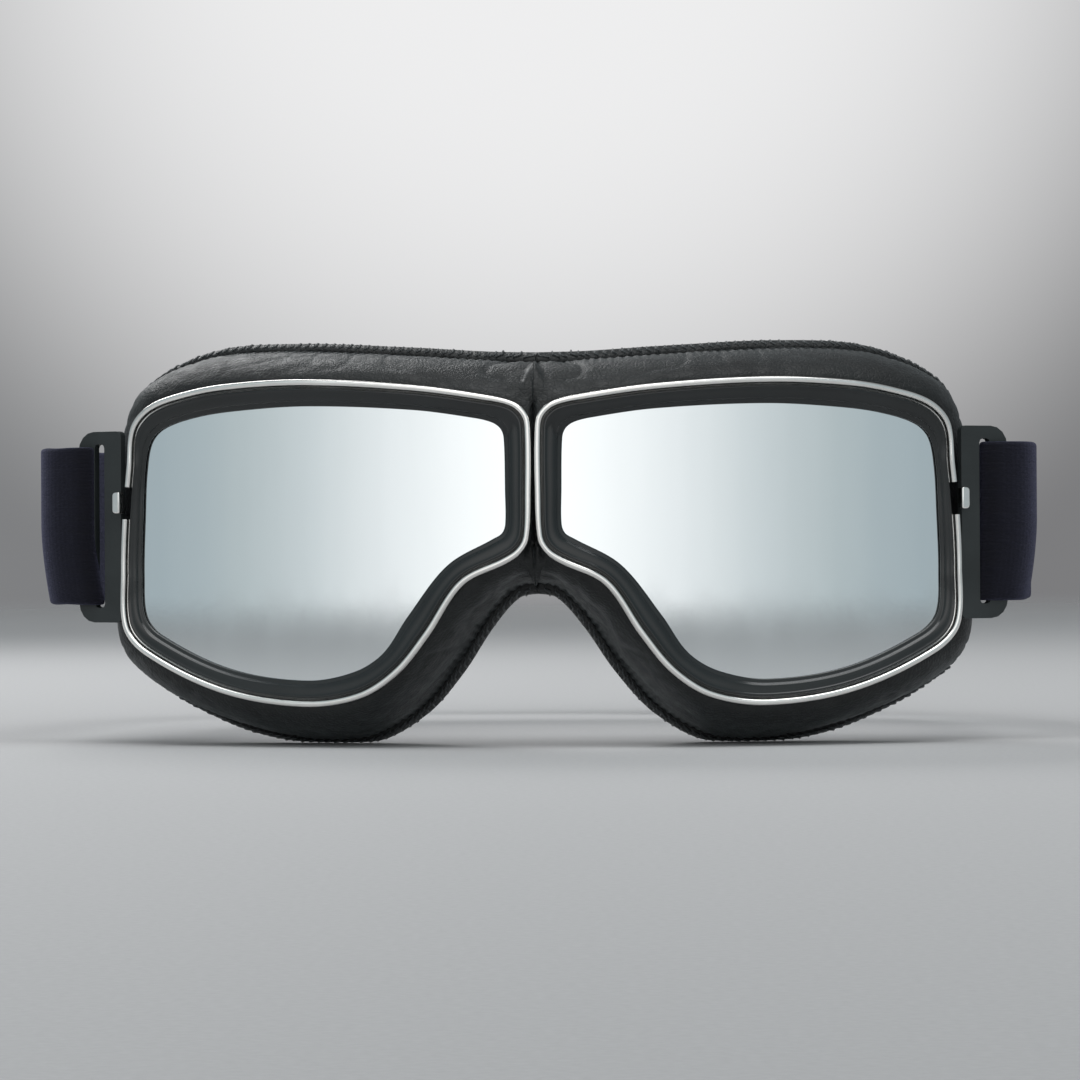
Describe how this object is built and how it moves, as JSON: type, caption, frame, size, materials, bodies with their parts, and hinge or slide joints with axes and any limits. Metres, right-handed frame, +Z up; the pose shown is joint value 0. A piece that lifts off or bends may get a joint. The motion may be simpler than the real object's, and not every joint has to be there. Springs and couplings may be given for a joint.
{
  "type": "motorcycle goggles",
  "caption": "Folding motorcycle goggles: framed mirrored lenses hinged at the nose bridge on padded leather cushions, with slotted strap plates and an adjustable elastic strap.",
  "frame": {"origin": "centre of the bounding box in plan, at the height of the two cushion lobes that it stands on", "axes": "+Z up, the lenses face -Y, +X to the right as seen from the front; the strap closes at the back, +Y"},
  "size_m": [0.1958, 0.1755, 0.0787],
  "materials": {
    "gloss_black": "gloss moulded plastic",
    "silver_mirror": "silver mirror coating on a curved lens",
    "gasket_rubber": "matte rubber",
    "bright_steel": "bright plated steel",
    "black_leather": "soft grained leather with a slight sheen",
    "grey_foam": "open-cell foam",
    "black_lining": "brushed lining",
    "matte_plate": "matte dark coating",
    "elastic_strap": "woven elastic, slightly fuzzy",
    "matte_black": "matte moulded plastic"
  },
  "bodies": {
    "bridge": {"bridge_block": "matte_black", "left_pin": "bright_steel", "right_pin": "bright_steel", "strap_band": "elastic_strap", "strap_return": "elastic_strap", "strap_tail": "elastic_strap"},
    "left_eye": {"left_frame": "gloss_black", "left_lens": "silver_mirror", "left_gasket": "gasket_rubber", "left_retainer": "matte_black", "left_rim": "bright_steel", "left_clasp": "bright_steel", "left_leather": "black_leather", "left_foam": "grey_foam", "left_lining": "black_lining", "left_plate": "matte_plate", "left_turn": "elastic_strap"},
    "right_eye": {"right_frame": "gloss_black", "right_lens": "silver_mirror", "right_gasket": "gasket_rubber", "right_retainer": "matte_black", "right_rim": "bright_steel", "right_clasp": "bright_steel", "right_leather": "black_leather", "right_foam": "grey_foam", "right_lining": "black_lining", "right_plate": "matte_plate", "right_turn": "elastic_strap"},
    "buckle": {"slider": "matte_black"}
  },
  "joints": [
    {"name": "left_fold", "type": "hinge", "parent": "bridge", "child": "left_eye", "pos_m": [-0.0023, -0.07755, 0.0496], "axis": [0, 0, -1], "range_deg": [0, 15], "stiffness_Nm_per_rad": 0.06, "deforming": ["left_leather", "left_foam", "left_lining", "strap_band", "strap_tail", "strap_return"]},
    {"name": "right_fold", "type": "hinge", "parent": "bridge", "child": "right_eye", "pos_m": [0.0023, -0.07755, 0.0496], "axis": [0, 0, 1], "range_deg": [0, 15], "stiffness_Nm_per_rad": 0.06, "deforming": ["right_leather", "right_foam", "right_lining", "strap_band", "strap_return", "strap_tail"]},
    {"name": "strap_adjust", "type": "slide", "parent": "bridge", "child": "buckle", "axis": [1, 0, 0], "range_m": [-0.035, 0], "deforming": ["strap_return"]}
  ]
}
